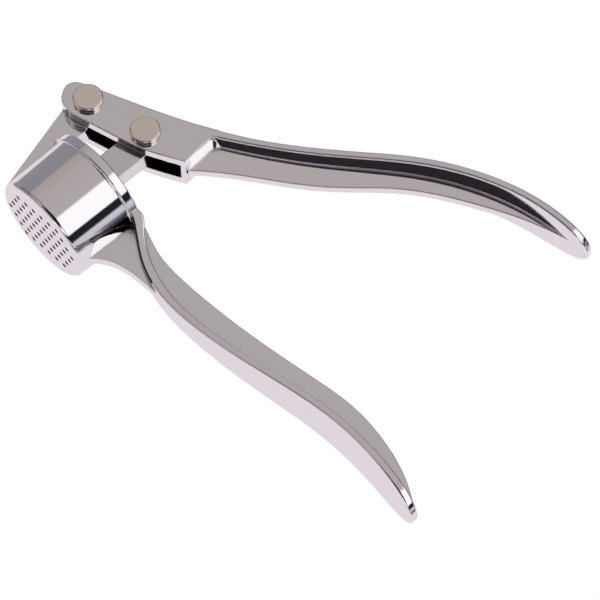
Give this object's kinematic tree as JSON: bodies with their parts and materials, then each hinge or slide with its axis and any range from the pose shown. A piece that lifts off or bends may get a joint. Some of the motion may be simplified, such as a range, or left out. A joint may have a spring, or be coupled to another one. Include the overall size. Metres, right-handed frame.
{
  "type": "garlic press",
  "caption": "Hand-held garlic press: squeezing two T-section grips drives a hinged plunger into a round hopper with a perforated sieve base.",
  "frame": {"origin": "middle of the sieve's outer face, on the hopper axis", "axes": "+X along the lower grip from the hopper to its tip, +Y along the hopper axis from the sieve to the rim, +Z along the rivets; the press lies on its side"},
  "size_m": [0.1871, 0.1252, 0.0404],
  "materials": {
    "casting": "polished",
    "plunger_casting": "satin",
    "rivet": "satin"
  },
  "bodies": {
    "lower_lever": {"lower_lever": "casting"},
    "upper_lever": {"upper_lever": "casting", "main_rivet_sleeve": "rivet", "main_rivet_pin": "rivet", "plunger_rivet_sleeve": "rivet", "plunger_rivet_pin": "rivet"},
    "plunger": {"plunger": "plunger_casting"}
  },
  "joints": [
    {"name": "lever_pivot", "type": "hinge", "parent": "lower_lever", "child": "upper_lever", "pos_m": [-0.0231, 0.0411, 0], "axis": [0, 0, 1], "range_deg": [-31, 5]},
    {"name": "plunger_pivot", "type": "hinge", "parent": "upper_lever", "child": "plunger", "pos_m": [-0.00131, 0.0467, 0], "axis": [0, 0, 1], "range_deg": [-5, 31]}
  ],
  "couplings": [
    {"joint": "plunger_pivot", "follows": "lever_pivot", "ratio": -1}
  ]
}
